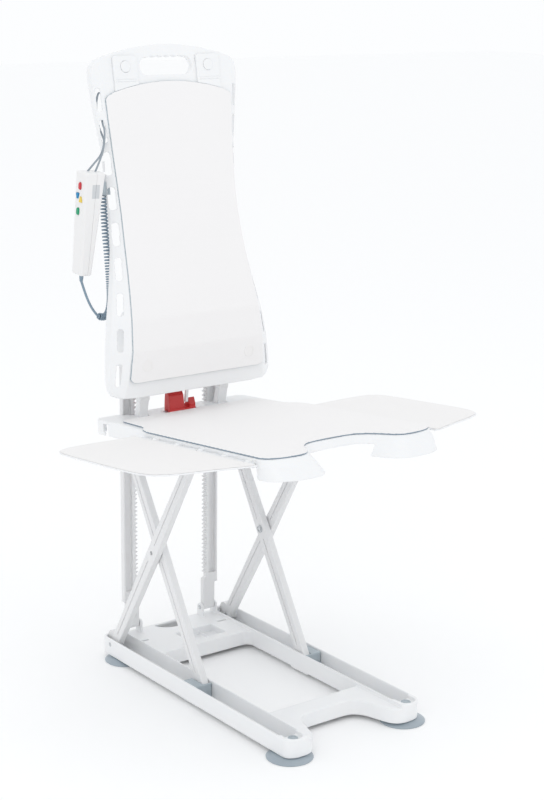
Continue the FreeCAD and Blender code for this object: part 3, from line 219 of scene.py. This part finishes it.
# seat cover skin; its narrow side faces get painted shade in dark blue-grey
FOAM = node_material("matt_cover_skin", (0.875, 0.866, 0.865), rough=0.62, spec=0.28, grain=0.22, grain_scale=1500, speck=0.02,
                     blotch=0.015, blotch_scale=5.0, sheen=0.06, fine="leather", side=((0.0, -0.091, 0.996), 0.25, 0.7, (0.27, 0.34, 0.41)))
FOAMP = node_material("matt_cover_skin_plain", (0.868, 0.858, 0.855), rough=0.62, spec=0.28, grain=0.22, grain_scale=1500, speck=0.02,
                      blotch=0.015, blotch_scale=5.0, sheen=0.06, fine="leather")
# backrest cover skin; its narrow side faces get painted shade in blue-grey
FOAMB = node_material("matt_cover_skin_back", (0.875, 0.866, 0.868), rough=0.62, spec=0.28, grain=0.22, grain_scale=1500, speck=0.02,
                      blotch=0.015, blotch_scale=5.0, sheen=0.06, fine="leather", side=((0.0, -0.988, 0.156), 0.35, 0.75, (0.36, 0.44, 0.49)))
CUP = node_material("cup_rubber", (0.36, 0.42, 0.47), rough=0.30, spec=0.5, coat=0.2, grain=0.08, grain_scale=700, speck=0.05,
                    blotch=0.10, blotch_scale=22, sss=0.15)
GREY = node_material("grey_plastic", (0.42, 0.48, 0.52), rough=0.42, grain=0.12, grain_scale=1200, speck=0.05, blotch=0.06)
STEEL = node_material("turned_steel", (0.60, 0.62, 0.64), rough=0.28, metal=1.0, grain=0.10, grain_scale=500, speck=0.05, blotch=0.06,
                      blotch_scale=60)
RED = node_material("red_plastic", (0.58, 0.022, 0.022), rough=0.34, coat=0.2, grain=0.10, grain_scale=1500, speck=0.06, blotch=0.08, blotch_scale=30)
REDB = node_material("red_button", (0.62, 0.03, 0.045), rough=0.4, grain=0.08, grain_scale=1800, speck=0.04, blotch=0.05, blotch_scale=60)
BLUE = node_material("blue_button", (0.012, 0.25, 0.52), rough=0.4, grain=0.08, grain_scale=1800, speck=0.04, blotch=0.05, blotch_scale=60)
YELLOW = node_material("yellow_button", (0.83, 0.62, 0.10), rough=0.4, grain=0.08, grain_scale=1800, speck=0.04, blotch=0.05, blotch_scale=60)
GREEN = node_material("green_button", (0.01, 0.34, 0.16), rough=0.4, grain=0.08, grain_scale=1800, speck=0.04, blotch=0.05, blotch_scale=60)
CORD = node_material("cord_jacket", (0.235, 0.32, 0.40), rough=0.42, spec=0.45, grain=0.10, grain_scale=1600, speck=0.06, blotch=0.08, blotch_scale=40)
WEB = node_material("lanyard_tape", (0.37, 0.42, 0.47), rough=0.8, spec=0.2, grain=0.6, grain_scale=2500, speck=0.15, blotch=0.08, blotch_scale=80,
                    sheen=0.3, fine="weave")
BOARD = node_material("circuit_board", (0.02, 0.16, 0.06), rough=0.35, grain=0.2, grain_scale=900, speck=0.2, blotch=0.1, blotch_scale=120)
BATT = node_material("battery_sleeve", (0.05, 0.06, 0.10), rough=0.35, grain=0.1, grain_scale=600, speck=0.1, blotch=0.1, blotch_scale=40)
SHADOW_SEAM = node_material("seam_shadow", (0.50, 0.56, 0.62), rough=0.6, grain=0.1, grain_scale=1500, speck=0.05, blotch=0.05)

SLOT_MATERIAL = {"white_plastic": WHITE, "cover_foam": FOAM, "cup_rubber": CUP, "grey_plastic": GREY, "steel": STEEL, "red_plastic": RED,
                 "blue_plastic": BLUE, "yellow_plastic": YELLOW, "green_plastic": GREEN, "board": BOARD, "battery": BATT,
                 "cord_rubber": CORD, "lanyard_web": WEB}
node_slot = {s["node"]: s["material_slot"] for s in frame["record"]["subparts"]}
node_body = {n: b for b, ns in frame["record"]["behaviour"]["bodies"].items() for n in ns}


def set_material(o, m):
    o.data.materials.clear()
    o.data.materials.append(m)


for name, o in nodes.items():
    mat = SLOT_MATERIAL[node_slot[name]]
    if name.startswith("handset_") and node_slot[name] == "white_plastic":
        mat = HAND
    if name == "button_stop":
        mat = REDB
    if name == "backrest_cover":
        mat = FOAMB
    if name == "cover_snaps" or name.startswith("flap_cover"):
        mat = FOAMP
    # legs and racks take the darker copy of the white plastic as painted shade
    if name.startswith(("outer_leg", "inner_leg", "rack_left", "rack_right")):
        mat = LEG_PAINTED_SHADE
    for i in range(len(o.material_slots)):
        o.material_slots[i].material = mat
    if not o.material_slots:
        o.data.materials.append(mat)


# ------------------------------------------------------------------ cords first
def nurbs(name, pts, order=3):
    c = bpy.data.curves.new(name, "CURVE")
    c.dimensions = "3D"
    c.resolution_u = 12
    s = c.splines.new("NURBS")
    s.points.add(len(pts) - 1)
    for p, q in zip(s.points, pts):
        p.co = (*q, 1.0)
    s.order_u = order
    s.use_endpoint_u = True
    return c


def line_points(pts, n):
    """Evenly spaced points of the smooth line through a route's control points."""
    c = nurbs("route", pts)
    c.resolution_u = 24
    o = bpy.data.objects.new("route", c)
    scene.collection.objects.link(o)
    dg = bpy.context.evaluated_depsgraph_get()
    me = bpy.data.meshes.new_from_object(o.evaluated_get(dg))
    co = [v.co.copy() for v in me.vertices]
    bpy.data.objects.remove(o)
    bpy.data.meshes.remove(me)
    bpy.data.curves.remove(c)
    d = [0.0]
    for a, b in zip(co, co[1:]):
        d.append(d[-1] + (b - a).length)
    out = []
    k = 0
    for i in range(n + 1):
        t = d[-1] * i / n
        while k < len(d) - 2 and d[k + 1] < t:
            k += 1
        f = (t - d[k]) / max(d[k + 1] - d[k], 1e-12)
        out.append(co[k].lerp(co[k + 1], f))
    return out, d[-1]


def frames(path):
    """A direction and two sideways axes at each point, carried along without twist."""
    ts = []
    for i in range(len(path)):
        a, b = path[max(i - 1, 0)], path[min(i + 1, len(path) - 1)]
        ts.append((b - a).normalized())
    side = ts[0].orthogonal().normalized()
    out = []
    for t in ts:
        side = (side - t * side.dot(t)).normalized()
        out.append((t, side, t.cross(side)))
    return out


def tube(name, path, radius, sides=10):
    """Closed round tube along the points; radius is a number or one for each point."""
    bm = bmesh.new()
    rings = []
    for i, (p, (t, a, b)) in enumerate(zip(path, frames(path))):
        r = radius[i] if hasattr(radius, "__len__") else radius
        rings.append([bm.verts.new(p + (a * math.cos(2 * math.pi * k / sides) + b * math.sin(2 * math.pi * k / sides)) * r)
                      for k in range(sides)])
    for x, y in zip(rings, rings[1:]):
        for k in range(sides):
            bm.faces.new((x[k], x[(k + 1) % sides], y[(k + 1) % sides], y[k]))
    bm.faces.new(list(reversed(rings[0])))
    bm.faces.new(rings[-1])
    bmesh.ops.recalc_face_normals(bm, faces=bm.faces)
    me = bpy.data.meshes.new(name)
    bm.to_mesh(me)
    bm.free()
    smooth_shade(me)
    return new_object(name, me)


COIL = [(-136.5, 11.0, 871.0), (-136.0, 10.5, 842.0), (-133.5, 10.0, 803.0), (-129.5, 10.5, 760.0), (-126.0, 10.0, 718.0),
        (-125.5, 12.0, 685.0), (-131.0, 16.0, 661.0), (-144.0, 20.0, 650.5), (-158.0, 21.5, 656.5)]
LEAD = [(-158.0, 21.5, 656.5), (-168.0, 22.5, 667.0), (-176.5, 20.5, 684.0), (-182.0, 17.0, 702.0), (-186.4, 13.2, 721.5)]
coil_line, coil_len = line_points([P(*p) for p in COIL], 400)
WIRE, COIL_R = 0.0030, 0.0070


def helix(line, length):
    """The curly cord's own centreline: stretched turns where it hangs, closed ones round the bend."""
    fr = frames(line)
    pts = []
    ang, step = 0.0, 14
    n = len(line) - 1
    d = length / n
    sub = 8
    for i in range(n):
        f = i / n
        pitch = 0.0062 if f < 0.42 else 0.0062 - (0.0062 - 0.0036) * min(1.0, (f - 0.42) / 0.3)
        grow = 1.0
        if f < 0.02:
            grow = 0.35 + 0.65 * f / 0.02
        if f > 0.985:
            grow = max(0.2, 1.0 - (f - 0.985) / 0.015 * 0.8)
        r = (COIL_R - WIRE / 2 - 0.0002) * grow
        for k in range(sub):
            g = (i + k / sub)
            i0 = int(g)
            c = line[i0].lerp(line[min(i0 + 1, n)], g - i0)
            t, a, b = fr[i0]
            pts.append(c + (a * math.cos(ang) + b * math.sin(ang)) * r)
            ang += 2 * math.pi * (d / sub) / pitch
    return pts


def thin(path, step):
    out = [path[0]]
    for p in path[1:-1]:
        if (p - out[-1]).length >= step:
            out.append(p)
    out.append(path[-1])
    return out


hx = thin(helix(coil_line, coil_len), 0.0016)
hx[0] = coil_line[0]
curly = tube("curly_cord_wire", hx, WIRE / 2, 8)
set_material(curly, CORD)
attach(curly, "backrest")
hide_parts("curly_cord")

lead_line, lead_len = line_points([P(*p) for p in LEAD], 60)
lead = tube("handset_lead_wire", lead_line, 0.0022, 12)
set_material(lead, CORD)
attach(lead, "backrest")
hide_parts("handset_lead")


def tape(name, path, width, thick, across):
    """Closed flat tape along the points, its broad side held square to one direction."""
    bm = bmesh.new()
    rings = []
    prev = None
    section = [(-0.5, -0.28), (-0.42, -0.5), (0.42, -0.5), (0.5, -0.28), (0.5, 0.28), (0.42, 0.5), (-0.42, 0.5), (-0.5, 0.28)]
    for p, (t, _, _) in zip(path, frames(path)):
        a = across - t * across.dot(t)
        a = a.normalized() if a.length > 0.25 else (prev - t * prev.dot(t)).normalized()
        if prev is not None:
            a = (a * 0.35 + (prev - t * prev.dot(t)).normalized() * 0.65).normalized()
        prev = a
        b = t.cross(a)
        rings.append([bm.verts.new(p + a * x * width + b * y * thick) for x, y in section])
    n = len(section)
    for x, y in zip(rings, rings[1:]):
        for k in range(n):
            bm.faces.new((x[k], x[(k + 1) % n], y[(k + 1) % n], y[k]))
    bm.faces.new(list(reversed(rings[0])))
    bm.faces.new(rings[-1])
    bmesh.ops.recalc_face_normals(bm, faces=bm.faces)
    me = bpy.data.meshes.new(name)
    bm.to_mesh(me)
    bm.free()
    return new_object(name, me)


LANYARD = [(-176.0, 20.0, 913.0), (-163.0, 25.0, 929.0), (-150.0, 29.0, 944.0), (-142.0, 25.0, 965.0), (-139.2, 14.0, 975.0),
           (-139.0, 3.0, 986.0), (-139.5, -5.0, 1008.0), (-137.5, -8.0, 1033.0), (-131.5, -9.0, 1050.0), (-125.5, -6.0, 1040.0),
           (-127.5, -1.0, 1018.0), (-133.5, 4.0, 1003.0), (-138.6, 14.0, 994.0), (-141.0, 25.0, 986.0), (-145.5, 30.5, 962.0),
           (-153.0, 31.0, 937.0), (-164.0, 27.0, 912.0)]
loop_line, loop_len = line_points([P(*p) for p in LANYARD], 150)
loop = tape("lanyard_tape", loop_line, 0.0034, 0.0014, Vector((0.8, -0.6, 0.0)))
set_material(loop, WEB)
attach(loop, "backrest")
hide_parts("lanyard")


# ------------------------------------------------------------------ soft-edged mouldings
def soften(node, voxel, iterations=4, ratio=0.4, factor=0.5, name=None, mat=None):
    """A moulded copy of a CAD node: same shape, with the small edge radii of injection moulding."""
    src = nodes[node]
    me = src.data.copy()
    bm = bmesh.new()
    bm.from_mesh(me)
    bmesh.ops.remove_doubles(bm, verts=bm.verts, dist=1e-6)
    bm.to_mesh(me)
    bm.free()
    o = new_object(name or node + "_moulding", me)
    r = o.modifiers.new("r", "REMESH")
    r.mode = "VOXEL"
    r.voxel_size = voxel
    s = o.modifiers.new("s", "SMOOTH")
    s.factor, s.iterations = factor, iterations
    if ratio < 1.0:
        d = o.modifiers.new("d", "DECIMATE")
        d.ratio = ratio
    dg = bpy.context.evaluated_depsgraph_get()
    out = bpy.data.meshes.new_from_object(o.evaluated_get(dg))
    o.modifiers.clear()
    o.data = out
    bpy.data.meshes.remove(me)
    smooth_shade(out)
    set_material(o, mat or src.material_slots[0].material)
    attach(o, node_body[node])
    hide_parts(node)
    return o


SOFT = [("base_frame", 0.0013, 4, 0.30), ("seat_shell", 0.0014, 4, 0.28), ("backrest_shell", 0.0012, 3, 0.26),
        ("seat_cover", 0.0010, 5, 0.22), ("backrest_cover", 0.0011, 6, 0.22),
        ("flap_left", 0.0012, 2, 0.30), ("flap_right", 0.0012, 2, 0.30),
        ("backrest_arm_left", 0.0009, 4, 0.35), ("backrest_arm_right", 0.0009, 4, 0.35),
        ("rack_left", 0.0009, 2, 0.40), ("rack_right", 0.0009, 2, 0.40),
        ("drive_housing", 0.0012, 4, 0.30), ("drive_cover", 0.0010, 4, 0.30),
        ("base_slides", 0.0009, 4, 0.35), ("suction_cups", 0.0008, 4, 0.35), ("suction_cup_stems", 0.0005, 3, 0.35),
        ("lock_lever", 0.0007, 5, 0.35), ("accessory_blocks", 0.0005, 1, 0.3), ("accessory_caps", 0.0005, 3, 0.3),
        ("handset_front_shell", 0.0006, 3, 0.3), ("handset_battery_shell", 0.0006, 3, 0.3),
        ("flap_cover_left", 0.0008, 1, 0.2), ("flap_cover_right", 0.0008, 1, 0.2), ("cord_socket", 0.0006, 3, 0.35)]
for node, vox, it, ratio in SOFT:
    soften(node, vox, it, ratio)

# ------------------------------------------------------------------ stage and light
me = bpy.data.meshes.new("floor")
me.from_pydata([(-18, -18, 0), (18, -18, 0), (18, 18, 0), (-18, 18, 0)], [], [(0, 1, 2, 3)])
floor = new_object("floor", me)
floor.location.z = -0.0004
fm = bpy.data.materials.new("floor")
fm.use_nodes = True
fb = fm.node_tree.nodes["Principled BSDF"]
fb.inputs["Base Color"].default_value = (0.985, 0.987, 0.99, 1)
fb.inputs["Roughness"].default_value = 0.9
fb.inputs["Specular IOR Level"].default_value = 0.1
me.materials.append(fm)

world = bpy.data.worlds.new("studio")
scene.world = world
world.use_nodes = True
bg = world.node_tree.nodes["Background"]
bg.inputs[0].default_value = (0.98, 0.99, 1.0, 1)
bg.inputs[1].default_value = 1.0


def area(name, loc, target, size, power, color):
    d = bpy.data.lights.new(name, "AREA")
    d.shape = "RECTANGLE"
    d.size, d.size_y = size
    d.energy = power
    d.color = color
    o = bpy.data.objects.new(name, d)
    scene.collection.objects.link(o)
    o.location = loc
    o.rotation_mode = "QUATERNION"
    o.rotation_quaternion = (Vector(target) - Vector(loc)).to_track_quat("-Z", "Y")
    return o


area("top", (-0.2, -0.6, 3.2), (0, 0, 0.3), (2.4, 2.4), 5, (1.0, 0.985, 0.965))
area("key", (-2.4, -2.2, 2.2), (0, 0, 0.6), (1.6, 1.6), 7, (1.0, 0.985, 0.97))
area("fill", (2.6, -1.4, 1.4), (0, 0, 0.5), (1.6, 1.6), 1.5, (0.93, 0.97, 1.0))

scene.view_settings.view_transform = "Standard"
scene.view_settings.look = "None"
